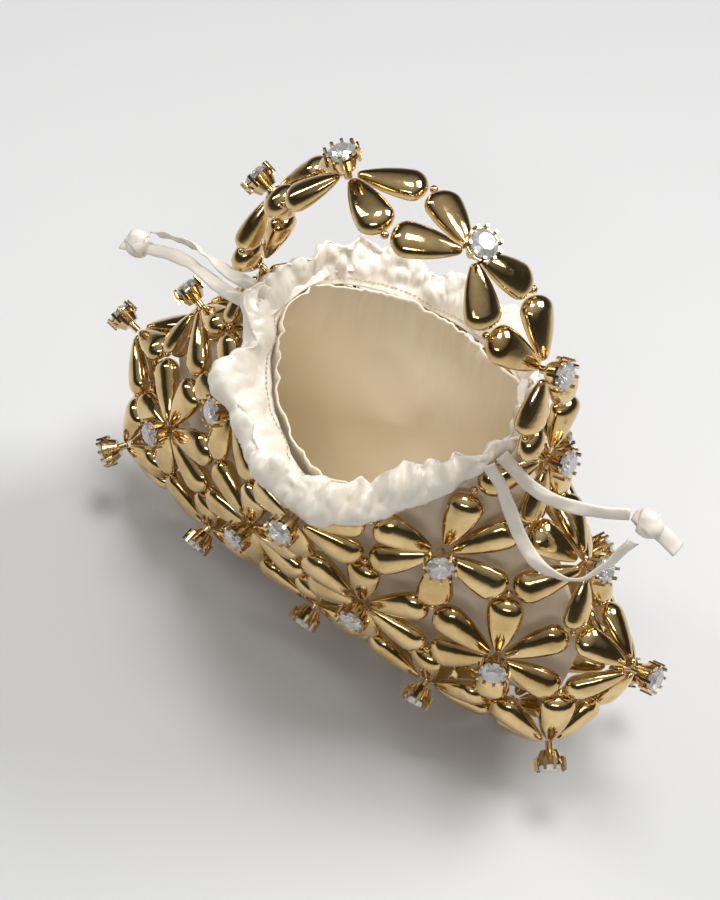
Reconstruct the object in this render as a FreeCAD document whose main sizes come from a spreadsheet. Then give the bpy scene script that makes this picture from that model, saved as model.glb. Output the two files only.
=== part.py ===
import FreeCAD
import Part
import Sketcher
import math
import os
from itertools import combinations

V = FreeCAD.Vector
doc = FreeCAD.newDocument("evening_bag")

# ---------------------------------------------------------------- driving dimensions (mm, degrees)
SIZES = [
    ("keel_spacing", 42.5),
    ("keel_height", 9),
    ("lower_half_length", 96),
    ("lower_half_depth", 26.5),
    ("lower_power", 3.6),
    ("lower_height", 32),
    ("lower_end_drop", 1.4),
    ("middle_half_length", 100),
    ("middle_half_depth", 39),
    ("middle_power", 1.58),
    ("middle_height", 66),
    ("middle_end_drop", 0),
    ("upper_half_length", 75),
    ("upper_half_depth", 47.5),
    ("upper_power", 1.18),
    ("upper_height", 101),
    ("upper_end_drop", 3),
    ("ridge_half_length", 53.5),
    ("ridge_height", 133),
    ("neighbour_reach", 47),
    ("rim_rise", 8.5),
    ("arch_spacing", 42.5),
    ("arch_splay", 7),
    ("arch_lean", 9),
    ("arch_half_width", 11.2),
    ("bead_length", 21),
    ("bead_width", 11.2),
    ("bead_flatness", 0.66),
    ("bead_broadest_share", 0.56),
    ("bead_tip_radius", 1.5),
    ("bead_end_radius", 4.9),
    ("bead_flank_radius", 45),
    ("bead_shortest", 16),
    ("bead_longest", 22),
    ("bead_roll", 6),
    ("bead_clearance", 0.3),
    ("hub_gap", 2.6),
    ("foot_hub_gap", 3.5),
    ("junction_gap", 1.6),
    ("spacer_radius", 1.2),
    ("stem_radius", 1.2),
    ("stem_drop", 1.6),
    ("cup_base", 1.4),
    ("cup_base_radius", 2.9),
    ("cup_top", 5.8),
    ("cup_top_radius", 5),
    ("cup_floor", 2.6),
    ("cup_wall", 0.5),
    ("claw_count", 10),
    ("claw_width", 0.9),
    ("claw_thickness", 0.65),
    ("claw_base", 3.7),
    ("claw_top", 7.8),
    ("stone_radius", 4.4),
    ("stone_table_radius", 2.5),
    ("stone_culet", 4),
    ("stone_girdle", 6.4),
    ("stone_table", 8.1),
    ("lining_end_gap", 17),
    ("lining_side_gap", 11),
    ("lining_power", 1.35),
    ("lining_lower_power", 2.4),
    ("lining_wall", 1.6),
    ("lining_base_height", 22),
    ("lining_base_half_length", 50),
    ("lining_base_half_depth", 3.5),
    ("seam_half_length", 42),
    ("seam_half_depth", 35),
    ("seam_height", 109),
    ("seam_rise", 20),
    ("rim_half_length", 45),
    ("rim_half_depth", 44),
    ("rim_height", 119),
    ("rim_end_rise", 24),
    ("seam_power", 1.7),
    ("rim_power", 2),
    ("ribbon_thickness", 2.4),
    ("knot_length", 11),
    ("knot_radius", 4),
]

sheet = doc.addObject("Spreadsheet::Sheet", "sizes")
for row, (alias, value) in enumerate(SIZES, start=1):
    sheet.set("A%d" % row, alias)
    sheet.set("B%d" % row, str(value))
    sheet.setAlias("B%d" % row, alias)
doc.recompute()


def size(alias):
    return float(sheet.get(alias))


# ---------------------------------------------------------------- where the flowers are
def ring_angle_point(half_length, half_depth, power, angle):
    """Point of a superellipse in plan at a parameter angle."""
    c = math.cos(angle)
    s = math.sin(angle)
    x = math.copysign(half_length * abs(c) ** (2 / power), c)
    y = math.copysign(half_depth * abs(s) ** (2 / power), s)
    return x, y


def quarter_points(half_length, half_depth, power, shares):
    """Points at shares of the quarter ring's length, counted from its end on +X."""
    steps = 400
    track = [ring_angle_point(half_length, half_depth, power, math.pi / 2 * i / steps)
             for i in range(steps + 1)]
    lengths = [0.0]
    for (x0, y0), (x1, y1) in zip(track, track[1:]):
        lengths.append(lengths[-1] + math.hypot(x1 - x0, y1 - y0))
    points = []
    for share in shares:
        target = share * lengths[-1]
        index = min(range(steps + 1), key=lambda i: abs(lengths[i] - target))
        points.append(track[index])
    return points


def mirrored(points):
    """The quarter's points in all four quarters, each place once, anticlockwise from +X."""
    places = set()
    for x, y in points:
        for sx in (1, -1):
            for sy in (1, -1):
                places.add((round(sx * x, 3) + 0.0, round(sy * y, 3) + 0.0))
    return sorted(places, key=lambda p: math.atan2(p[1], p[0]) % (2 * math.pi))


def ring_of_flowers(name, shares):
    half_length = size(name + "_half_length")
    quarter = quarter_points(half_length, size(name + "_half_depth"), size(name + "_power"), shares)
    flowers = []
    for x, y in mirrored(quarter):
        drop = size(name + "_end_drop") * (x / half_length) ** 2
        flowers.append(V(x, y, size(name + "_height") - drop))
    return flowers


def arch_points():
    """Hubs of the strap's four flowers, leaning forward about the line of the two ridge hubs."""
    spacing = size("arch_spacing")
    first = math.radians(size("arch_splay"))
    second = math.asin((size("ridge_half_length") - spacing / 2) / spacing - math.sin(first))
    low = V(size("ridge_half_length") - spacing * math.sin(first), 0, spacing * math.cos(first))
    high = V(spacing / 2, 0, low.z + spacing * math.cos(second))
    lean = FreeCAD.Rotation(V(1, 0, 0), size("arch_lean"))
    base = V(0, 0, size("ridge_height"))
    points = [low, high, V(-high.x, 0, high.z), V(-low.x, 0, low.z)]
    return [base + lean.multVec(p) for p in points]


flower_rows = {
    "keel": [V(x * size("keel_spacing"), 0, size("keel_height")) for x in (1.5, 0.5, -0.5, -1.5)],
    "lower": ring_of_flowers("lower", (0.2, 0.6, 1.0)),
    "middle": ring_of_flowers("middle", (0.0, 0.4, 0.8)),
    "upper": ring_of_flowers("upper", (0.0, 0.5, 1.0)),
    "ridge": [V(sx * size("ridge_half_length"), 0, size("ridge_height")) for sx in (1, -1)],
}
hubs = {}
for row, points in flower_rows.items():
    for number, point in enumerate(points, start=1):
        hubs["%s_%d" % (row, number)] = point
body_flowers = list(hubs)

arch = arch_points()
handle_flowers = []
for number, point in enumerate(arch, start=1):
    name = "handle_%d" % number
    hubs[name] = point
    handle_flowers.append(name)

# ---------------------------------------------------------------- junctions, where bead ends meet
centre = V(0, 0, size("middle_height"))


def near(a, b):
    return (hubs[a] - hubs[b]).Length < size("neighbour_reach")


def body_junctions():
    """(position, flowers) where three neighbours meet, and on the open side of each rim pair."""
    junctions = []
    sides = {}
    for trio in combinations(body_flowers, 3):
        if all(near(a, b) for a, b in combinations(trio, 2)):
            a, b, c = (hubs[name] for name in trio)
            junctions.append(((a + b + c) / 3, trio))
            for pair in combinations(trio, 2):
                sides.setdefault(pair, []).append((a + b + c) / 3)
    for (first, second), thirds in sides.items():
        if len(thirds) == 1:
            middle = (hubs[first] + hubs[second]) / 2
            along = hubs[second] - hubs[first]
            along.normalize()
            away = middle - thirds[0]
            away -= along * away.dot(along)
            away.normalize()
            junctions.append((middle + away * size("rim_rise"), (first, second)))
    return junctions


def strap_junctions():
    """Two junctions beside each step of the strap, from ridge hub to ridge hub."""
    chain = ["ridge_1"] + handle_flowers + ["ridge_2"]
    junctions = []
    for first, second in zip(chain, chain[1:]):
        middle = (hubs[first] + hubs[second]) / 2
        for side in (1, -1):
            junctions.append((middle + V(0, side * size("arch_half_width"), 0), (first, second)))
    return junctions


junctions = body_junctions()
strap = strap_junctions()


STRAP_CHAIN = ["upper_1", "ridge_1"] + handle_flowers + ["ridge_2", "upper_5"]
STRAP_NEIGHBOURS = {name: (STRAP_CHAIN[i - 1], STRAP_CHAIN[i + 1])
                    for i, name in enumerate(STRAP_CHAIN[1:-1], start=1)}


def flower_normal(name):
    """Outward direction of a flower, from the ring of its junctions taken in order."""
    hub = hubs[name]
    if name in STRAP_NEIGHBOURS:
        before, after = (hubs[neighbour] for neighbour in STRAP_NEIGHBOURS[name])
        normal = V(0, 1, 0).cross(before - after)
        normal.normalize()
        return normal if normal.dot(V(hub.x, 0, hub.z - size("ridge_height"))) > 0 else -normal
    outward = hub - centre
    outward.normalize()
    side = V(0, 0, 1).cross(outward)
    if side.Length < 0.01:
        side = V(1, 0, 0)
    side.normalize()
    up = outward.cross(side)
    spokes = [place - hub for place, members in junctions if name in members]
    spokes.sort(key=lambda p: math.atan2(p.dot(up), p.dot(side)))
    normal = V(0, 0, 0)
    for one, two in zip(spokes, spokes[1:] + spokes[:1]):
        normal += one.cross(two)
    normal.normalize()
    return normal if normal.dot(outward) > 0 else -normal


normals = {name: flower_normal(name) for name in hubs}


# ---------------------------------------------------------------- pattern pieces
def plane_of(body, role):
    return next(f for f in body.Origin.OriginFeatures if f.Role == role)


def new_sketch(body, name, role):
    sketch = body.newObject("Sketcher::SketchObject", name)
    sketch.AttachmentSupport = [(plane_of(body, role), "")]
    sketch.MapMode = "FlatFace"
    return sketch


def polygon(sketch, points):
    count = len(points)
    for index in range(count):
        start, end = points[index], points[(index + 1) % count]
        sketch.addGeometry(Part.LineSegment(V(*start, 0), V(*end, 0)), False)
    for index in range(count):
        sketch.addConstraint(Sketcher.Constraint("Coincident", index, 2, (index + 1) % count, 1))


def bind_corners(sketch, corners, across, up):
    """Dimension each corner of a polygon from the sketch's origin by its two expressions."""
    for vertex, corner in enumerate(corners):
        for kind, value, expression in zip(("DistanceX", "DistanceY"), corner, (across[vertex], up[vertex])):
            number = sketch.addConstraint(Sketcher.Constraint(kind, -1, 1, vertex, 1, value))
            if expression != "0":
                sketch.setExpression("Constraints[%d]" % number, expression)


def bead_flank_centre():
    """Centre of the arc that joins the bead's tip ball to its end ball."""
    tip = size("bead_tip_radius")
    base = size("bead_length") - size("bead_end_radius") - tip
    reach_tip = size("bead_flank_radius") - tip
    reach_end = size("bead_flank_radius") - size("bead_end_radius")
    along = (reach_tip ** 2 - reach_end ** 2 + base ** 2) / (2 * base)
    return V(tip + along, -math.sqrt(reach_tip ** 2 - along ** 2), 0)


def flank_touch(ball_centre):
    """Where the flank's arc meets a ball of the bead."""
    direction = ball_centre - bead_flank_centre()
    direction.normalize()
    return bead_flank_centre() + direction * size("bead_flank_radius")


def bead_radius(x):
    """Radius of the drop bead at a distance from its tip."""
    tip = V(size("bead_tip_radius"), 0, 0)
    end = V(size("bead_length") - size("bead_end_radius"), 0, 0)
    if x < flank_touch(tip).x:
        return math.sqrt(max(0, tip.x ** 2 - (x - tip.x) ** 2))
    if x < flank_touch(end).x:
        flank = bead_flank_centre()
        return flank.y + math.sqrt(size("bead_flank_radius") ** 2 - (x - flank.x) ** 2)
    return math.sqrt(max(0, size("bead_end_radius") ** 2 - (x - end.x) ** 2))


def make_bead():
    """Round drop bead along +X: tip ball, bulging flank and end ball, turned about X."""
    tip = size("bead_tip_radius")
    end = size("bead_end_radius")
    length = size("bead_length")
    flank_centre = bead_flank_centre()
    tip_centre = V(tip, 0, 0)
    end_centre = V(length - end, 0, 0)

    def arc(start, ball_centre, radius, finish):
        middle = (start - ball_centre) + (finish - ball_centre)
        middle.normalize()
        return Part.Arc(start, ball_centre + middle * radius, finish).toShape()

    touch_tip = flank_touch(tip_centre)
    touch_end = flank_touch(end_centre)
    outline = Part.Wire([
        arc(V(0, 0, 0), tip_centre, tip, touch_tip),
        arc(touch_tip, flank_centre, size("bead_flank_radius"), touch_end),
        arc(touch_end, end_centre, end, V(length, 0, 0)),
        Part.makeLine(V(length, 0, 0), V(0, 0, 0)),
    ])
    return Part.Face(outline).revolve(V(0, 0, 0), V(1, 0, 0), 360)


def make_setting():
    """Claw cup on a stem, its axis +Z and the flower's hub at its origin."""
    body = doc.addObject("PartDesign::Body", "claw_setting")
    profile = new_sketch(body, "cup_profile", "XZ_Plane")
    wall = size("cup_wall")
    outline = [
        (0, -size("stem_drop")),
        (size("stem_radius"), -size("stem_drop")),
        (size("stem_radius"), size("cup_base")),
        (size("cup_base_radius"), size("cup_base")),
        (size("cup_top_radius"), size("cup_top")),
        (size("cup_top_radius") - wall, size("cup_top")),
        (size("cup_base_radius") - wall, size("cup_floor")),
        (0, size("cup_floor")),
    ]
    polygon(profile, outline)
    across = ["0", "sizes.stem_radius", "sizes.stem_radius", "sizes.cup_base_radius",
              "sizes.cup_top_radius", "sizes.cup_top_radius - sizes.cup_wall",
              "sizes.cup_base_radius - sizes.cup_wall", "0"]
    up = ["-sizes.stem_drop", "-sizes.stem_drop", "sizes.cup_base", "sizes.cup_base",
          "sizes.cup_top", "sizes.cup_top", "sizes.cup_floor", "sizes.cup_floor"]
    bind_corners(profile, outline, across, up)
    turned = body.newObject("PartDesign::Revolution", "cup")
    turned.Profile = profile
    turned.ReferenceAxis = (profile, ["V_Axis"])
    turned.Angle = 360
    doc.recompute()

    claw_sketch = new_sketch(body, "claw_outline", "XY_Plane")
    inner = size("cup_top_radius") - wall
    half = size("claw_width") / 2
    corners = [(inner, -half), (inner + size("claw_thickness"), -half),
               (inner + size("claw_thickness"), half), (inner, half)]
    polygon(claw_sketch, corners)
    claw_across = ["sizes.cup_top_radius - sizes.cup_wall",
                   "sizes.cup_top_radius - sizes.cup_wall + sizes.claw_thickness",
                   "sizes.cup_top_radius - sizes.cup_wall + sizes.claw_thickness",
                   "sizes.cup_top_radius - sizes.cup_wall"]
    claw_up = ["-sizes.claw_width / 2", "-sizes.claw_width / 2",
               "sizes.claw_width / 2", "sizes.claw_width / 2"]
    bind_corners(claw_sketch, corners, claw_across, claw_up)
    claw_sketch.AttachmentOffset = FreeCAD.Placement(V(0, 0, size("claw_base")), FreeCAD.Rotation())
    claw_sketch.setExpression("AttachmentOffset.Base.z", "sizes.claw_base")
    claw = body.newObject("PartDesign::Pad", "claw")
    claw.Profile = claw_sketch
    claw.setExpression("Length", "sizes.claw_top - sizes.claw_base")
    doc.recompute()
    claws = body.newObject("PartDesign::PolarPattern", "claws")
    claws.Originals = [claw]
    claws.Axis = (claw_sketch, ["N_Axis"])
    claws.Angle = 360
    claws.setExpression("Occurrences", "sizes.claw_count")
    body.Tip = claws
    doc.recompute()
    return body


def facet_ring(radius, height, count, turn):
    return [V(radius * math.cos(2 * math.pi * (i + turn) / count),
              radius * math.sin(2 * math.pi * (i + turn) / count), height) for i in range(count)]


def make_stone():
    """Round brilliant-cut stone with flat facets, its axis +Z, in the setting's frame."""
    table = facet_ring(size("stone_table_radius"), size("stone_table"), 8, 0.5)
    star_height = size("stone_girdle") + 0.55 * (size("stone_table") - size("stone_girdle"))
    stars = facet_ring(0.82 * size("stone_radius"), star_height, 8, 0)
    girdle_top = facet_ring(size("stone_radius"), size("stone_girdle") + 0.15, 16, 0)
    girdle_low = facet_ring(size("stone_radius"), size("stone_girdle") - 0.15, 16, 0)
    culet = V(0, 0, size("stone_culet"))

    def facet(*corners):
        return Part.Face(Part.makePolygon(list(corners) + [corners[0]]))

    faces = [facet(*table)]
    for i in range(8):
        j = (i + 1) % 8
        faces.append(facet(table[i - 1], table[i], stars[i]))
        faces.append(facet(table[i], stars[j], stars[i]))
        faces.append(facet(stars[i], stars[j], girdle_top[2 * i + 1]))
        faces.append(facet(stars[i], girdle_top[2 * i + 1], girdle_top[2 * i]))
        faces.append(facet(stars[j], girdle_top[(2 * i + 2) % 16], girdle_top[2 * i + 1]))
    for i in range(16):
        j = (i + 1) % 16
        faces.append(facet(girdle_top[i], girdle_top[j], girdle_low[j], girdle_low[i]))
        faces.append(facet(girdle_low[i], girdle_low[j], culet))
    return Part.Solid(Part.Shell(faces))


bead = make_bead()
setting = make_setting()
stone = make_stone()


# ---------------------------------------------------------------- placing the pieces
def frame_matrix(origin, x_axis, z_axis, scale_x=1.0, scale_y=1.0, scale_z=1.0):
    """Matrix that carries the pattern's axes, scaled, to a place."""
    y_axis = z_axis.cross(x_axis)
    return FreeCAD.Matrix(
        x_axis.x * scale_x, y_axis.x * scale_y, z_axis.x * scale_z, origin.x,
        x_axis.y * scale_x, y_axis.y * scale_y, z_axis.y * scale_z, origin.y,
        x_axis.z * scale_x, y_axis.z * scale_y, z_axis.z * scale_z, origin.z)


def upright(direction, normal):
    """The normal made square to a direction."""
    square = normal - direction * normal.dot(direction)
    square.normalize()
    return square


def smallest_angle(direction, others):
    """Least angle between a direction and the others, or a straight angle if there are none."""
    return min([direction.getAngle(other) for other in others] or [math.pi])


def petal(flower, junction, order, hub_mates, junction_mates, least_gap):
    """One flattened bead from a hub to a junction, slightly rolled as strung beads are.

    Where the beads beside it stand closer it is narrower and its two gaps are larger, so that
    it stays inside its own wedge at the hub and at the junction.
    """
    axis = junction - hubs[flower]
    span = axis.Length
    axis.normalize()
    half_angle = smallest_angle(axis, [place - hubs[flower] for place in hub_mates]) / 2
    wedge = math.tan(min(half_angle, 1.4))
    margin = size("bead_clearance") / math.cos(min(half_angle, 1.4))
    broadest = size("hub_gap") + size("bead_broadest_share") * size("bead_length")
    width = min(size("bead_width"), 2 * (broadest * wedge - margin))
    across = width / (2 * size("bead_end_radius"))
    half_angle = smallest_angle(-axis, [hubs[name] - junction for name in junction_mates]) / 2
    blunt = size("bead_width") * (1 - math.sin(half_angle)) + size("bead_clearance")
    junction_gap = max(size("junction_gap"), blunt / (2 * math.sin(half_angle)))
    stations = [size("bead_length") * i / 40 for i in range(41)]
    length = size("bead_length")
    for _ in range(4):
        stretch = length / size("bead_length")
        hub_gap = max([least_gap] + [(across * bead_radius(x) + margin) / wedge - stretch * x
                                   for x in stations])
        free = span - hub_gap - junction_gap
        length = min(max(free, size("bead_shortest")), size("bead_longest"))
    start = hubs[flower] + axis * (hub_gap + max(0, free - length) / 2)
    roll = size("bead_roll") * math.sin(2.4 * order)
    normal = FreeCAD.Rotation(axis, roll).multVec(upright(axis, normals[flower]))
    matrix = frame_matrix(start, axis, normal, length / size("bead_length"), across,
                          across * size("bead_flatness"))
    return bead.transformGeometry(matrix)


def placed(shape, flower):
    """A setting or stone on its flower, axis along the flower's normal."""
    normal = normals[flower]
    side = upright(normal, V(0, 1, 0) if abs(normal.y) < 0.7 else V(1, 0, 0))
    copy = shape.copy()
    copy.transformShape(frame_matrix(hubs[flower], side, normal))
    return copy


nodes = []


def add_node(name, shape):
    feature = doc.addObject("Part::Feature", name)
    feature.Label = name
    feature.Shape = shape
    feature.Placement = FreeCAD.Placement()
    nodes.append(feature)
    return feature


def petals_of(flower, places, all_places, least_gap):
    """The flower's beads to some of its places; its beads to the others only crowd them."""
    beads = []
    for order, place in enumerate(places):
        hub_mates = [other for other in all_places[flower] if other is not place]
        junction_mates = [name for name in hubs if name != flower and place in all_places[name]]
        beads.append(petal(flower, place, order, hub_mates, junction_mates, least_gap))
    return beads


all_places = {name: [place for place, members in junctions + strap if name in members] for name in hubs}


for flower in body_flowers:
    places = [place for place, members in junctions if flower in members]
    beads = petals_of(flower, places, all_places, size("hub_gap"))
    add_node("petals_" + flower, Part.makeCompound(beads))
for flower in handle_flowers:
    places = [place for place, members in strap if flower in members]
    beads = petals_of(flower, places, all_places, size("hub_gap"))
    add_node("petals_" + flower, Part.makeCompound(beads))
for number, flower in enumerate(("ridge_1", "ridge_2"), start=1):
    places = [place for place, members in strap if flower in members]
    beads = petals_of(flower, places, all_places, size("foot_hub_gap"))
    add_node("petals_handle_foot_%d" % number, Part.makeCompound(beads))

setting_groups = {
    "lower": ("keel", "lower"),
    "middle": ("middle",),
    "upper": ("upper", "ridge"),
    "handle": ("handle",),
}
for group, rows in setting_groups.items():
    members = [name for name in hubs if name.rsplit("_", 1)[0] in rows]
    add_node("settings_" + group, Part.makeCompound([placed(setting.Shape, name) for name in members]))
    add_node("stones_" + group, Part.makeCompound([placed(stone, name) for name in members]))

for group, places in (("body", junctions), ("handle", strap)):
    spacers = [Part.makeSphere(size("spacer_radius"), place) for place, members in places]
    add_node("spacer_beads_" + group, Part.makeCompound(spacers))


# ---------------------------------------------------------------- satin pouch and its gathered mouth
def saddle_ring(half_length, half_depth, power, height, rise=0.0):
    """Closed smooth curve round the bag, higher at the two ends by rise."""
    count = 32
    points = []
    for i in range(count):
        angle = 2 * math.pi * i / count
        x, y = ring_angle_point(half_length, half_depth, power, angle)
        points.append(V(x, y, height + rise * math.cos(angle) ** 2))
    curve = Part.BSplineCurve()
    curve.interpolate(points, PeriodicFlag=True)
    return curve.toShape()


def band_faces(edges):
    loft = Part.makeLoft([Part.Wire(edge) for edge in edges], False, True)
    return loft.Faces


def pouch_rings(inset, floor_lift):
    """Rings of the pouch from its floor to its seam, drawn in by inset."""
    end_gap = size("lining_end_gap") + inset
    side_gap = size("lining_side_gap") + inset
    rings = [(size("lining_base_half_length") - inset, size("lining_base_half_depth") - inset, 2,
              size("lining_base_height") + floor_lift, 0)]
    for name in ("lower", "middle", "upper"):
        power = size("lining_lower_power") if name == "lower" else size("lining_power")
        rings.append((size(name + "_half_length") - end_gap, size(name + "_half_depth") - side_gap,
                      power, size(name + "_height"), 0))
    rings.append((size("seam_half_length") - inset, size("seam_half_depth") - inset,
                  size("seam_power"), size("seam_height"), size("seam_rise")))
    return [saddle_ring(*ring) for ring in rings]


def make_lining():
    outer = pouch_rings(0, 0)
    inner = pouch_rings(size("lining_wall"), size("lining_wall"))
    faces = band_faces(outer) + band_faces(inner)
    faces.append(Part.Face(Part.Wire(outer[0])))
    faces.append(Part.Face(Part.Wire(inner[0])))
    faces.append(Part.makeRuledSurface(outer[-1], inner[-1]))
    shell = Part.makeShell(faces)
    shell.sewShape()
    return Part.Solid(shell)


def mouth_rings(inset):
    seam = (size("seam_half_length") - inset, size("seam_half_depth") - inset,
            size("seam_power"), size("seam_height"), size("seam_rise"))
    rim = (size("rim_half_length") - inset, size("rim_half_depth") - inset,
           size("rim_power"), size("rim_height"), size("rim_end_rise"))
    return [saddle_ring(*seam), saddle_ring(*rim)]


def make_casing():
    outer = mouth_rings(0)
    inner = mouth_rings(size("lining_wall"))
    faces = band_faces(outer) + band_faces(inner)
    for one, two in zip(outer, inner):
        faces.append(Part.makeRuledSurface(one, two))
    shell = Part.makeShell(faces)
    shell.sewShape()
    return Part.Solid(shell)


add_node("lining_pouch", make_lining())
add_node("drawstring_casing", make_casing())


# ---------------------------------------------------------------- ribbons and knots
def rounded_route(name, points):
    """Straight runs joined by tangent arcs, each as large as its two runs allow."""
    points = [V(*p) for p in points]
    edges = []
    start = points[0]
    for before, corner, after in zip(points, points[1:], points[2:]):
        incoming = corner - before
        outgoing = after - corner
        shorter = min(incoming.Length, outgoing.Length)
        turn = incoming.getAngle(outgoing)
        incoming.normalize()
        outgoing.normalize()
        cut = 0.45 * shorter
        radius = cut / math.tan(turn / 2)
        enter = corner - incoming * cut
        leave = corner + outgoing * cut
        inward = outgoing - incoming
        inward.normalize()
        arc_centre = corner + inward * (radius / math.cos(turn / 2))
        summit = arc_centre - inward * radius
        edges.append(Part.makeLine(start, enter))
        edges.append(Part.Arc(enter, summit, leave).toShape())
        start = leave
        print(name, "bend radius %.1f mm" % radius)
    edges.append(Part.makeLine(start, points[-1]))
    return Part.Wire(edges)


def make_ribbon(name, points):
    route = rounded_route(name, points)
    radius = size("ribbon_thickness") / 2
    heading = V(*points[1]) - V(*points[0])
    section = Part.Wire(Part.makeCircle(radius, V(*points[0]), heading))
    tube = route.makePipeShell([section], True, False)
    expected = math.pi * radius ** 2 * route.Length
    print(name, "length %.1f mm, volume %.3f of section by length" % (route.Length, tube.Volume / expected))
    return tube


RIBBONS = {
    "ribbon_left_front": [(-43.2, -14, 133.5), (-49, -13, 131.5), (-57, -12, 128.5), (-68, -9, 126),
                          (-82, -4, 119.5), (-95, -2, 110.5)],
    "ribbon_left_back": [(-43.5, -9.5, 136.2), (-49, -9, 135), (-57, -8, 132), (-66, -5.5, 129.5),
                         (-82, 0, 123), (-95.5, 1.5, 114)],
    "ribbon_right_loop": [(42.6, -16.2, 136), (46.3, -15.5, 131.5), (52, -15.5, 123), (58, -16, 113.5),
                          (66, -16, 106.5), (75, -13.5, 105), (82, -8, 109.5), (85.5, 0, 121.5)],
    "ribbon_right_straight": [(43.6, -11, 136), (49, -11, 133.2), (56, -11, 130.6), (64, -8.5, 128.4),
                              (73, -2.5, 126.4), (81.2, 3, 127)],
}
for name, points in RIBBONS.items():
    add_node(name, make_ribbon(name, points))


def make_knot(name, place, pitch):
    knot = doc.addObject("Part::Ellipsoid", name)
    knot.Label = name
    knot.setExpression("Radius1", "sizes.knot_radius")
    knot.setExpression("Radius2", "sizes.knot_length / 2")
    knot.setExpression("Radius3", "sizes.knot_radius")
    knot.Placement = FreeCAD.Placement(V(*place), FreeCAD.Rotation(V(0, 1, 0), pitch))
    nodes.append(knot)


make_knot("knot_left", (-100, -0.5, 107.5), 45)
make_knot("knot_right", (87, 4, 127), 0)

# ---------------------------------------------------------------- check and write
doc.recompute()
for item in doc.Objects:
    if "Invalid" in item.State or "Error" in item.State:
        raise RuntimeError("failed: " + item.Label)
os.makedirs("parts", exist_ok=True)
for node in nodes:
    if node.Shape.isNull() or not node.Shape.isValid():
        raise RuntimeError("bad shape: " + node.Label)
    node.Shape.exportStep("parts/%s.step" % node.Label)
print("nodes", len(nodes), "flowers", len(hubs), "junctions", len(junctions), "+", len(strap))
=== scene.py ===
import bpy
import math
from mathutils import Matrix, Vector, noise


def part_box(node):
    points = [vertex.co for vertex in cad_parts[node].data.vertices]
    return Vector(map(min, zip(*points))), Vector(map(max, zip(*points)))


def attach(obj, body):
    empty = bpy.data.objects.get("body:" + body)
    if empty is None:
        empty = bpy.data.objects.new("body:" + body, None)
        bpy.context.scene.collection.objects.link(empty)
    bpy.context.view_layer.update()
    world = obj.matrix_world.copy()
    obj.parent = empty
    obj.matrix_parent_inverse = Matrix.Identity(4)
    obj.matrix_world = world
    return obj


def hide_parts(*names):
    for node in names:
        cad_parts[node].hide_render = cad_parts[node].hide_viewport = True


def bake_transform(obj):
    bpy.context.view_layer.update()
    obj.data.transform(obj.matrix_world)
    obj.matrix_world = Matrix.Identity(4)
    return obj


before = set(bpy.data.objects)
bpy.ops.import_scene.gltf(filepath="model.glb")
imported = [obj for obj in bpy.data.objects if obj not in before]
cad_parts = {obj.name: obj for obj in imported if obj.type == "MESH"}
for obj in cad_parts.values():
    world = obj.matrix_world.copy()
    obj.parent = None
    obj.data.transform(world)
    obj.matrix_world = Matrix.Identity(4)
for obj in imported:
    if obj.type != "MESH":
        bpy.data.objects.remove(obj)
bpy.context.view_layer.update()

# ---------------------------------------------------------------- sizes, in metres
LOOK_AT = Vector((-0.0057, -0.0052, 0.0885))
CAMERA_DISTANCE = 0.7824
CAMERA_AZIMUTH = 29.3
CAMERA_ELEVATION = 52.5
CAMERA_ROLL = 10.2
CAMERA_LENS = 101.5

RIBBON_WIDTH = 0.0041
RIBBON_THICKNESS = 0.0004
TAIL_WIDTH = 0.005
CLOTH_THICKNESS = 0.0005
STITCH_HALF_WIDTH = 0.00017
STITCH_HALF_THICKNESS = 0.00014
STITCH_LIFT = 0.0005

FLOOR_HALF_SIZE = 3
FLOOR_GREY = 0.63
LIGHT_SPREAD = 90
LIGHT_AIM = (0, 0, 0.08)

# Rings of the satin, from the pouch's floor up: height, half length, half depth, power, end rise,
# and for the seam how far the back stands higher than the front's, and the shift of its middle.
POUCH_RINGS = [
    (0.0225, 0.050, 0.0035, 2.0, 0.0),
    (0.032, 0.079, 0.0150, 2.4, 0.0),
    (0.066, 0.083, 0.0275, 1.35, 0.0),
    (0.101, 0.058, 0.0360, 1.35, 0.0),
    (0.1125, 0.0415, 0.0365, 1.75, 0.0165, 0.0040, -0.0004),
]


# ---------------------------------------------------------------- camera
def make_camera():
    data = bpy.data.cameras.new("camera")
    camera = bpy.data.objects.new("camera", data)
    bpy.context.collection.objects.link(camera)
    azimuth = math.radians(CAMERA_AZIMUTH)
    elevation = math.radians(CAMERA_ELEVATION)
    back = Vector((math.sin(azimuth) * math.cos(elevation), -math.cos(azimuth) * math.cos(elevation),
                   math.sin(elevation)))
    camera.location = LOOK_AT + back * CAMERA_DISTANCE
    turn = back.to_track_quat("Z", "Y") @ Matrix.Rotation(math.radians(CAMERA_ROLL), 4, "Z").to_quaternion()
    camera.rotation_euler = turn.to_euler()
    data.lens = CAMERA_LENS
    data.sensor_width = 36
    data.clip_start = 0.05
    bpy.context.scene.camera = camera


make_camera()


# ---------------------------------------------------------------- materials
def new_material(name):
    material = bpy.data.materials.new(name)
    material.use_nodes = True
    nodes = material.node_tree.nodes
    return material, nodes, material.node_tree.links, nodes["Principled BSDF"]


def add_node(nodes, kind, **inputs):
    node = nodes.new(kind)
    for key, value in inputs.items():
        node.inputs[key].default_value = value
    return node


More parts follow.
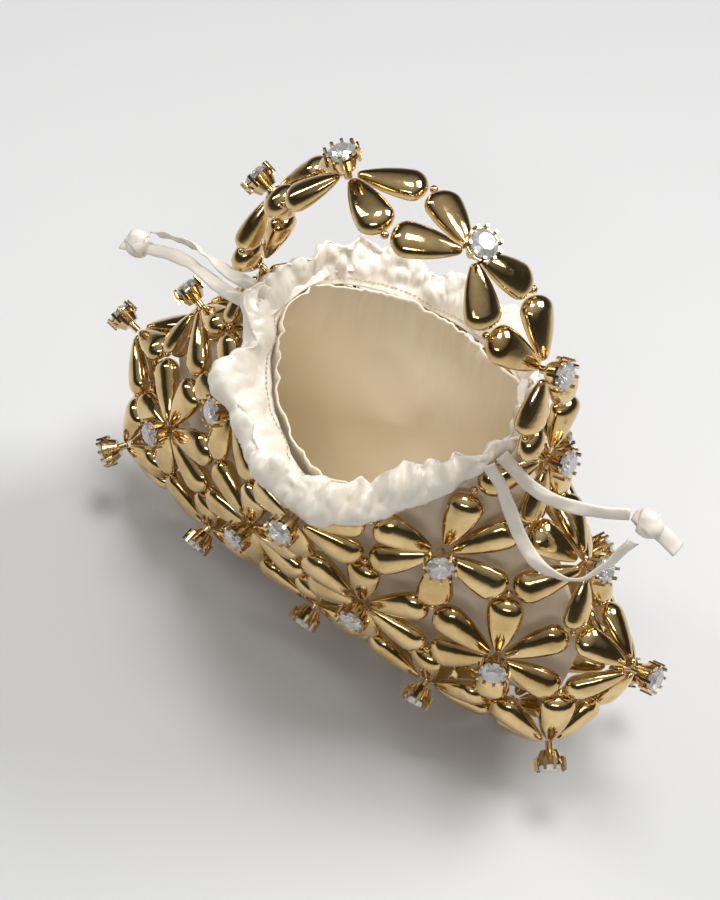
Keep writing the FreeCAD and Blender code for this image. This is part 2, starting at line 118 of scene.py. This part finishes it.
def gold_material(name, bright, dull, roughness):
    """Polished gold plate, slightly cloudy, with fine wear."""
    material, nodes, links, shader = new_material(name)
    shader.inputs["Metallic"].default_value = 1.0
    shader.inputs["Coat Weight"].default_value = 0.25
    shader.inputs["Coat Roughness"].default_value = 0.04
    coords = nodes.new("ShaderNodeTexCoord")
    cloud = add_node(nodes, "ShaderNodeTexNoise", Scale=90.0, Detail=4.0, Roughness=0.6)
    links.new(coords.outputs["Object"], cloud.inputs["Vector"])
    tint = nodes.new("ShaderNodeValToRGB")
    tint.color_ramp.elements[0].position = 0.36
    tint.color_ramp.elements[0].color = (*dull, 1)
    tint.color_ramp.elements[1].position = 0.62
    tint.color_ramp.elements[1].color = (*bright, 1)
    links.new(cloud.outputs["Fac"], tint.inputs["Fac"])
    links.new(tint.outputs["Color"], shader.inputs["Base Color"])
    wear = add_node(nodes, "ShaderNodeTexNoise", Scale=420.0, Detail=6.0, Roughness=0.7)
    links.new(coords.outputs["Object"], wear.inputs["Vector"])
    spread = add_node(nodes, "ShaderNodeMapRange")
    spread.inputs["From Min"].default_value = 0.4
    spread.inputs["From Max"].default_value = 0.75
    spread.inputs["To Min"].default_value = roughness
    spread.inputs["To Max"].default_value = roughness + 0.14
    links.new(wear.outputs["Fac"], spread.inputs["Value"])
    links.new(spread.outputs["Result"], shader.inputs["Roughness"])
    dents = add_node(nodes, "ShaderNodeTexNoise", Scale=160.0, Detail=2.0)
    links.new(coords.outputs["Object"], dents.inputs["Vector"])
    broad = add_node(nodes, "ShaderNodeBump", Strength=0.25, Distance=0.0006)
    links.new(dents.outputs["Fac"], broad.inputs["Height"])
    bump = add_node(nodes, "ShaderNodeBump", Strength=0.06, Distance=0.0004)
    links.new(wear.outputs["Fac"], bump.inputs["Height"])
    links.new(broad.outputs["Normal"], bump.inputs["Normal"])
    links.new(bump.outputs["Normal"], shader.inputs["Normal"])
    return material


def crystal_material():
    """Clear cut stone: refraction over bright foil facets."""
    material, nodes, links, shader = new_material("crystal")
    shader.inputs["Base Color"].default_value = (1.0, 1.0, 1.0, 1)
    shader.inputs["Roughness"].default_value = 0.0
    shader.inputs["IOR"].default_value = 1.75
    shader.inputs["Transmission Weight"].default_value = 1.0
    foil = add_node(nodes, "ShaderNodeBsdfGlossy", Roughness=0.10)
    foil.inputs["Color"].default_value = (0.95, 0.95, 0.96, 1)
    glow = add_node(nodes, "ShaderNodeBsdfDiffuse")
    glow.inputs["Color"].default_value = (0.92, 0.92, 0.93, 1)
    backing = add_node(nodes, "ShaderNodeMixShader", Fac=0.45)
    links.new(foil.outputs["BSDF"], backing.inputs[1])
    links.new(glow.outputs["BSDF"], backing.inputs[2])
    mix = add_node(nodes, "ShaderNodeMixShader", Fac=0.45)
    links.new(shader.outputs["BSDF"], mix.inputs[1])
    links.new(backing.outputs["Shader"], mix.inputs[2])
    links.new(mix.outputs["Shader"], nodes["Material Output"].inputs["Surface"])
    return material


def satin_material(name, color, roughness, crease):
    """Ivory satin with a soft sheen and fine creases."""
    material, nodes, links, shader = new_material(name)
    shader.inputs["Base Color"].default_value = (*color, 1)
    shader.inputs["Roughness"].default_value = roughness
    shader.inputs["Sheen Weight"].default_value = 0.12
    shader.inputs["Sheen Roughness"].default_value = 0.4
    shader.inputs["Subsurface Weight"].default_value = 0.05
    shader.inputs["Subsurface Radius"].default_value = (0.003, 0.002, 0.001)
    coords = nodes.new("ShaderNodeTexCoord")
    weave = add_node(nodes, "ShaderNodeTexNoise", Scale=2600.0, Detail=2.0)
    crumple = add_node(nodes, "ShaderNodeTexNoise", Scale=150.0, Detail=5.0, Roughness=0.55)
    links.new(coords.outputs["Object"], weave.inputs["Vector"])
    links.new(coords.outputs["Object"], crumple.inputs["Vector"])
    fine = add_node(nodes, "ShaderNodeBump", Strength=0.08, Distance=0.0003)
    broad = add_node(nodes, "ShaderNodeBump", Strength=crease, Distance=0.0016)
    links.new(weave.outputs["Fac"], fine.inputs["Height"])
    links.new(crumple.outputs["Fac"], broad.inputs["Height"])
    links.new(fine.outputs["Normal"], broad.inputs["Normal"])
    links.new(broad.outputs["Normal"], shader.inputs["Normal"])
    return material


GOLD = gold_material("bead_gold", (0.80, 0.59, 0.28), (0.58, 0.39, 0.15), 0.05)
SETTING_GOLD = gold_material("setting_gold", (0.80, 0.59, 0.31), (0.60, 0.42, 0.19), 0.10)
CRYSTAL = crystal_material()
POUCH_SATIN = satin_material("pouch_satin", (0.93, 0.83, 0.66), 0.45, 0.10)
CASING_SATIN = satin_material("casing_satin", (0.87, 0.80, 0.69), 0.22, 0.15)
RIBBON_SATIN = satin_material("ribbon_satin", (0.84, 0.78, 0.67), 0.28, 0.15)
THREAD = satin_material("sewing_thread", (0.60, 0.52, 0.40), 0.6, 0.0)


def paint(item, material):
    item.data.materials.clear()
    item.data.materials.append(material)


for name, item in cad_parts.items():
    if name.startswith(("petals", "spacer")):
        paint(item, GOLD)
    elif name.startswith("settings"):
        paint(item, SETTING_GOLD)
    elif name.startswith("stones"):
        paint(item, CRYSTAL)


# ---------------------------------------------------------------- mesh helpers
def mesh_object(name, points, faces, material, smooth=True):
    data = bpy.data.meshes.new(name)
    data.from_pydata([tuple(p) for p in points], [], faces)
    data.update()
    if smooth:
        data.polygons.foreach_set("use_smooth", [True] * len(data.polygons))
    data.materials.append(material)
    item = bpy.data.objects.new(name, data)
    bpy.context.collection.objects.link(item)
    return item


def grid_faces(rows, columns, closed_columns):
    faces = []
    last = columns if closed_columns else columns - 1
    for r in range(rows - 1):
        for c in range(last):
            d = (c + 1) % columns
            faces.append((r * columns + c, r * columns + d, (r + 1) * columns + d, (r + 1) * columns + c))
    return faces


def route_line(points):
    """Evenly read points of the smooth line that has the route's points as control points."""
    curve = bpy.data.curves.new("route", "CURVE")
    curve.dimensions = "3D"
    spline = curve.splines.new("NURBS")
    spline.points.add(len(points) - 1)
    for target, point in zip(spline.points, points):
        target.co = (*point, 1)
    spline.order_u = 3
    spline.use_endpoint_u = True
    curve.resolution_u = 12
    holder = bpy.data.objects.new("route", curve)
    bpy.context.collection.objects.link(holder)
    bpy.context.view_layer.update()
    line = bpy.data.meshes.new_from_object(holder)
    path = [Vector(v.co) for v in line.vertices]
    bpy.data.objects.remove(holder)
    return path


def strip_mesh(name, path, facing, material, width=RIBBON_WIDTH):
    """Flat ribbon along a path; facing(share) gives the direction that its face looks.

    It creases a little across its width and curls at its edges, as handled satin does.
    """
    points = []
    sides = []
    for i, place in enumerate(path):
        ahead = path[min(i + 1, len(path) - 1)] - path[max(i - 1, 0)]
        ahead.normalize()
        share = i / (len(path) - 1)
        out = facing(share)
        out = (out - ahead * out.dot(ahead)).normalized()
        across = ahead.cross(out).normalized()
        sides.append((place, across, out))
    columns = 7
    for layer in (1, -1):
        for place, across, out in sides:
            for c in range(columns):
                t = c / (columns - 1) * 2 - 1
                cup = 0.0005 * (1 - t * t) + 0.0009 * noise.noise(place * 170 + across * (0.5 * t))
                points.append(place + across * (t * width / 2) + out * (cup + layer * RIBBON_THICKNESS / 2))
    rows = len(sides)
    faces = grid_faces(rows, columns, False)
    offset = rows * columns
    faces += [tuple(offset + k for k in reversed(face)) for face in grid_faces(rows, columns, False)]
    for r in range(rows - 1):
        for c in (0, columns - 1):
            a, b = r * columns + c, (r + 1) * columns + c
            face = (a, b, b + offset, a + offset)
            faces.append(face if c == 0 else tuple(reversed(face)))
    for r in (0, rows - 1):
        for c in range(columns - 1):
            a, b = r * columns + c, r * columns + c + 1
            face = (a, a + offset, b + offset, b)
            faces.append(face if r == 0 else tuple(reversed(face)))
    return mesh_object(name, points, faces, material)


# ---------------------------------------------------------------- ribbons and knots
ROUTES = {
    "ribbon_left_front": [(-0.0432, -0.014, 0.1335), (-0.049, -0.013, 0.1315), (-0.057, -0.012, 0.1285),
                          (-0.068, -0.009, 0.126), (-0.082, -0.004, 0.1195), (-0.095, -0.002, 0.1105)],
    "ribbon_left_back": [(-0.0435, -0.0095, 0.1362), (-0.049, -0.009, 0.135), (-0.057, -0.008, 0.132),
                         (-0.066, -0.0055, 0.1295), (-0.082, 0, 0.123), (-0.0955, 0.0015, 0.114)],
    "ribbon_right_loop": [(0.0426, -0.0162, 0.136), (0.0463, -0.0155, 0.1315), (0.052, -0.0155, 0.123),
                          (0.058, -0.016, 0.1135), (0.066, -0.016, 0.1065), (0.075, -0.0135, 0.105),
                          (0.082, -0.008, 0.1095), (0.0855, 0, 0.1215)],
    "ribbon_right_straight": [(0.0436, -0.011, 0.136), (0.049, -0.011, 0.1332), (0.056, -0.011, 0.1306),
                              (0.064, -0.0085, 0.1284), (0.073, -0.0025, 0.1264), (0.0812, 0.003, 0.127)],
}
RIBBON_FACING = {
    "ribbon_left_front": (Vector((0.2, -0.8, 0.6)), Vector((0.3, -0.3, 0.9))),
    "ribbon_left_back": (Vector((0.2, -0.6, 0.8)), Vector((0.3, 0.3, 0.9))),
    "ribbon_right_loop": (Vector((0.6, -0.7, 0.4)), Vector((0.7, -0.6, -0.3))),
    "ribbon_right_straight": (Vector((0.2, -0.7, 0.7)), Vector((0.1, -0.9, 0.5))),
}


def make_ribbon(name):
    first, last = RIBBON_FACING[name]
    path = route_line(ROUTES[name])

    def facing(share):
        sway = 0.55 * math.sin(5.5 * share + len(name))
        return first.lerp(last, share) + Vector((sway, 0.4 * sway, -0.3 * sway))

    ribbon = strip_mesh(name + "_satin", path, facing, RIBBON_SATIN)
    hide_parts(name)
    return ribbon, path


def make_knot(node, tail_directions):
    """Overhand knot: crossed ribbon loops drawn tight, with short tails."""
    low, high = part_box(node)
    middle = (low + high) / 2
    size = high - low
    points = []
    faces = []
    loops = [(Vector((1, 0.2, 0.1)), 1.0), (Vector((0.3, 1, 0.5)), 0.9), (Vector((-0.6, 0.5, 0.8)), 0.8)]
    for number, (axis, share) in enumerate(loops):
        axis.normalize()
        side = axis.orthogonal().normalized()
        up = axis.cross(side)
        start = len(points)
        around, across = 40, 9
        for i in range(around):
            angle = 2 * math.pi * i / around
            out = side * math.cos(angle) + up * math.sin(angle)
            for j in range(across):
                t = j / (across - 1) * 2 - 1
                swell = share * (0.0030 + 0.0008 * math.cos(t * math.pi / 2)
                                 + 0.0004 * math.sin(3 * angle + number))
                flat = Vector((out.x * size.x / 0.009, out.y * size.y / 0.009, out.z * size.z / 0.009))
                points.append(middle + flat * swell + axis * (t * 0.0026))
        for a, b, c, d in grid_faces(around, across, False):
            faces.append((start + a, start + b, start + c, start + d))
        for j in range(across - 1):
            top = start + (around - 1) * across + j
            faces.append((top, top + 1, start + j + 1, start + j))
    knot = mesh_object(node + "_satin", points, faces, RIBBON_SATIN)
    thick = knot.modifiers.new("thickness", "SOLIDIFY")
    thick.thickness = 0.0006
    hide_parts(node)
    tails = []
    for number, (direction, length, bend) in enumerate(tail_directions):
        ahead = Vector(direction).normalized()
        droop = Vector(bend)
        path = [middle + ahead * (0.002 + length * s) + droop * s * s for s in (i / 14 for i in range(15))]
        tail = strip_mesh("%s_tail_%d" % (node, number + 1), path,
                          lambda share: Vector((0.2, -0.6 + 0.5 * share, 0.8)), RIBBON_SATIN, TAIL_WIDTH)
        tails.append(tail)
    return knot, tails


def dress_side(body, node, ribbon_names, tails):
    knot, tail_pieces = make_knot(node, tails)
    for piece in [knot] + tail_pieces:
        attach(piece, body)
    for name in ribbon_names:
        ribbon, path = make_ribbon(name)
        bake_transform(ribbon)


dress_side("drawstring_left", "knot_left", ("ribbon_left_front", "ribbon_left_back"),
           [((-0.8, 0.1, -0.5), 0.006, (0, 0, -0.001))])
dress_side("drawstring_right", "knot_right", ("ribbon_right_loop", "ribbon_right_straight"),
           [((0.9, 0.1, -0.2), 0.009, (0, 0, -0.002))])


# ---------------------------------------------------------------- satin pouch and casing
def ring_point(angle, height, half_length, half_depth, power, rise, tilt=0.0, shift=0.0):
    c = math.cos(angle)
    s = math.sin(angle)
    x = math.copysign(half_length * abs(c) ** (2 / power), c)
    y = math.copysign(half_depth * abs(s) ** (2 / power), s)
    return Vector((x + shift, y, height + rise * c * c + tilt * s))


def creases(place, across, along, seed):
    """Sharp-crested folds, 0 in the valleys and 1 on the crests, that run up and down the cloth."""
    spot = Vector((place.x * across, place.y * across, place.z * along + seed))
    broad = 1 - 2.2 * abs(noise.noise(spot))
    fine = 1 - 2.2 * abs(noise.noise(spot * 2.3 + Vector((3.1, 7.7, 1.3))))
    return max(0.0, 0.68 * broad + 0.32 * fine)


def smooth_path(places, share):
    """Point at a share of the smooth line through some places."""
    spans = len(places) - 1
    span = min(int(share * spans), spans - 1)
    t = share * spans - span
    a = places[max(span - 1, 0)]
    b = places[span]
    c = places[span + 1]
    d = places[min(span + 2, spans)]
    return 0.5 * ((2 * b) + (c - a) * t + (2 * a - 5 * b + 4 * c - d) * t * t
                  + (3 * b - a - 3 * c + d) * t ** 3)


def make_pouch():
    """The satin bag inside the beads: broad loose folds, gathered close under its seam."""
    around = 480
    steps = 14
    places = []
    for low, high in zip(POUCH_RINGS, POUCH_RINGS[1:]):
        places += [(low, high, i / steps) for i in range(steps)]
    places.append((POUCH_RINGS[-2], POUCH_RINGS[-1], 1.0))
    points = []
    for row, (low, high, share) in enumerate(places):
        climb = row / (len(places) - 1)
        for i in range(around):
            angle = 2 * math.pi * i / around
            place = ring_point(angle, *low).lerp(ring_point(angle, *high), share)
            inward = Vector((-place.x, -place.y, 0)).normalized()
            fold = 0.0026 * creases(place, 26, 14, 4.0) * min(1, climb * 3)
            fold += 0.0020 * creases(place, 120, 12, 9.0) * climb ** 4
            points.append(place + inward * (0.0004 + fold))
    faces = grid_faces(len(places), around, True)
    floor_middle = len(points)
    points.append(Vector((0, 0, POUCH_RINGS[0][0])))
    faces += [(floor_middle, (i + 1) % around, i) for i in range(around)]
    pouch = mesh_object("satin_pouch", points, faces, POUCH_SATIN)
    wall = pouch.modifiers.new("cloth", "SOLIDIFY")
    wall.thickness = CLOTH_THICKNESS
    wall.offset = 0
    return pouch


# Deep tucks of the gathered crest: place round the mouth in degrees, depth in metres, half width
# in degrees. A negative depth is a fold that stands outwards.
TUCKS = [(12, 0.0050, 5), (33, 0.0030, 6), (58, 0.0045, 5), (84, 0.0030, 5), (108, 0.0042, 6),
         (131, 0.0024, 5), (153, 0.0040, 5), (172, 0.0030, 4), (192, -0.0022, 5), (206, 0.0078, 8),
         (224, -0.0030, 6), (243, 0.0024, 4), (262, 0.0034, 4), (276, 0.0022, 3), (290, 0.0044, 4),
         (301, 0.0026, 3), (312, 0.0036, 3), (322, 0.0026, 2.5), (331, 0.0036, 3), (345, 0.0030, 4)]
# Where the casing is drawn in, clear of the strap's swinging feet: place round the mouth in degrees,
# depth in metres.
PRESSED = [(158, 0.0040), (22, 0.0020)]
CASING_AROUND = 900
CASING_ROWS = 44
INNER_SEAM_ROW = 3
OUTER_SEAM_ROW = 37


def tuck_depth(angle):
    """How far the crest is drawn inwards at an angle."""
    depth = 0.0
    for place, deepest, half_width in TUCKS:
        away = (math.degrees(angle) - place + 180) % 360 - 180
        depth += deepest * math.exp(-(away / half_width) ** 2)
    return depth


def casing_section(angle):
    """Cross-section of the casing: up the inside, over the crest, down outside to its hem."""
    front = max(0.0, -math.sin(angle)) ** 1.5
    pulled = max(0.0, math.cos(angle + 0.85)) ** 6
    pressed = sum(depth * max(0.0, math.cos(angle - math.radians(place))) ** 10
                  for place, depth in PRESSED)
    boxy = 2.15 - 0.55 * math.cos(angle)
    seam = ring_point(angle, *POUCH_RINGS[-1])
    outward = Vector((seam.x, seam.y, 0)).normalized()
    up = Vector((0, 0, 1))
    wander = noise.noise(Vector((seam.x * 45, seam.y * 45, 2.0)))
    crest = ring_point(angle, 0.1210, 0.0452, 0.0445, boxy, 0.0180, 0.0035, -0.0008)
    tuck = tuck_depth(angle)
    inwards = 0.0085 * pulled + 0.0015 * wander + tuck + pressed - 0.0015
    crest += up * (0.0022 * wander - 0.35 * tuck) - outward * inwards
    hem = ring_point(angle, 0.1130, 0.0460, 0.0460 + 0.0035 * front, boxy, 0.0195, 0.0055, -0.0010)
    inner = seam.lerp(crest, 0.5) - outward * 0.0012
    hem -= outward * (0.25 * tuck + pressed)
    outer = crest.lerp(hem, 0.5) + outward * (0.0024 - 0.3 * tuck) + up * 0.0010
    start = seam - up * 0.002 - outward * 0.0004
    turned_under = hem - up * 0.004 - outward * 0.0045
    return [start, inner, crest, outer, hem, turned_under]


def make_casing():
    """Crumpled channel of satin that holds the drawstring: two layers joined over its crest."""
    points = []
    sections = [casing_section(2 * math.pi * i / CASING_AROUND) for i in range(CASING_AROUND)]
    for r in range(CASING_ROWS):
        share = r / (CASING_ROWS - 1)
        for section in sections:
            place = smooth_path(section, share)
            ahead = smooth_path(section, min(1, share + 0.02)) - smooth_path(section, max(0, share - 0.02))
            around = Vector((-place.y, place.x, 0)).normalized()
            out = ahead.cross(around).normalized()
            strength = math.sin(math.pi * min(1, share * 1.1 + 0.02)) ** 0.6 if share < 0.9 else 0.25
            tight = 0.25 + max(0.0, noise.noise(place * 16 + Vector((4, 2, 0)))) * 1.6
            crumple = creases(place, 66, 24, 5.0) - 0.45
            pucker = creases(place, 170, 34, 1.0) - 0.45
            slack = noise.noise(place * 34 + Vector((9, 0, 0)))
            push = strength * (0.0036 * crumple + 0.0036 * tight * pucker + 0.0024 * slack)
            points.append(place - out * push)
    faces = grid_faces(CASING_ROWS, CASING_AROUND, True)
    casing = mesh_object("gathered_casing", points, faces, CASING_SATIN)
    wall = casing.modifiers.new("cloth", "SOLIDIFY")
    wall.thickness = CLOTH_THICKNESS
    wall.offset = 0
    return casing


def make_stitches(casing):
    """Short stitches along both seams of the casing, standing a little off the cloth."""
    points = []
    faces = []
    for row in (INNER_SEAM_ROW, OUTER_SEAM_ROW):
        for i in range(0, CASING_AROUND, 5):
            a = casing.data.vertices[row * CASING_AROUND + i].co
            b = casing.data.vertices[row * CASING_AROUND + (i + 3) % CASING_AROUND].co
            above = casing.data.vertices[(row + 1) * CASING_AROUND + i].co
            ahead = (b - a).normalized()
            out = ahead.cross(above - a).normalized()
            up = out.cross(ahead)
            for shift in (STITCH_LIFT, -STITCH_LIFT):
                start = len(points)
                for place in (a + out * shift, b + out * shift):
                    for u, v in ((1, 1), (-1, 1), (-1, -1), (1, -1)):
                        points.append(place + up * (u * STITCH_HALF_WIDTH)
                                      + out * (v * STITCH_HALF_THICKNESS))
                for k in range(4):
                    m = (k + 1) % 4
                    faces.append((start + k, start + m, start + 4 + m, start + 4 + k))
                faces.append((start, start + 3, start + 2, start + 1))
                faces.append((start + 4, start + 5, start + 6, start + 7))
    return mesh_object("casing_stitches", points, faces, THREAD, smooth=False)


pouch = make_pouch()
casing = make_casing()
stitches = make_stitches(casing)
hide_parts("lining_pouch")
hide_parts("drawstring_casing")
for piece in (pouch, casing, stitches):
    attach(piece, "bag")


# ---------------------------------------------------------------- studio
def area_light(name, place, width, height, power):
    data = bpy.data.lights.new(name, "AREA")
    data.shape = "RECTANGLE"
    data.size = width
    data.size_y = height
    data.energy = power
    data.spread = math.radians(LIGHT_SPREAD)
    light = bpy.data.objects.new(name, data)
    bpy.context.collection.objects.link(light)
    light.location = place
    light.rotation_euler = (Vector(LIGHT_AIM) - Vector(place)).to_track_quat("-Z", "Y").to_euler()


def make_sky():
    """Dim walls and a paler ceiling, which polished metal shows as dark and light bands."""
    world = bpy.data.worlds.new("studio")
    bpy.context.scene.world = world
    world.use_nodes = True
    nodes = world.node_tree.nodes
    links = world.node_tree.links
    coords = nodes.new("ShaderNodeTexCoord")
    split = nodes.new("ShaderNodeSeparateXYZ")
    links.new(coords.outputs["Generated"], split.inputs["Vector"])
    ramp = nodes.new("ShaderNodeValToRGB")
    links.new(split.outputs["Z"], ramp.inputs["Fac"])
    steps = [(0.0, 0.06), (0.40, 0.03), (0.55, 0.16), (0.85, 0.38), (1.0, 0.50)]
    while len(ramp.color_ramp.elements) < len(steps):
        ramp.color_ramp.elements.new(0.5)
    for element, (place, grey) in zip(ramp.color_ramp.elements, steps):
        element.position = place
        element.color = (grey, grey, grey, 1)
    sky = nodes["Background"]
    sky.inputs["Strength"].default_value = 1.0
    links.new(ramp.outputs["Color"], sky.inputs["Color"])


def make_studio():
    reach = FLOOR_HALF_SIZE
    corners = [(-reach, -reach, 0), (reach, -reach, 0), (reach, reach, 0), (-reach, reach, 0)]
    floor = mesh_object("floor", corners, [(0, 1, 2, 3)], new_material("floor_paper")[0], smooth=False)
    shader = floor.data.materials[0].node_tree.nodes["Principled BSDF"]
    shader.inputs["Base Color"].default_value = (FLOOR_GREY, FLOOR_GREY, FLOOR_GREY, 1)
    shader.inputs["Roughness"].default_value = 0.9
    make_sky()
    bpy.context.scene.view_settings.view_transform = "Standard"
    area_light("key", (0.45, 0.75, 1.0), 0.6, 0.5, 2.8)
    area_light("top", (-0.05, 0.1, 1.4), 0.4, 0.4, 2.2)
    area_light("side", (-0.9, -0.2, 0.75), 0.12, 0.7, 0.7)
    area_light("front", (0.5, -0.9, 0.9), 0.7, 0.12, 0.7)


make_studio()
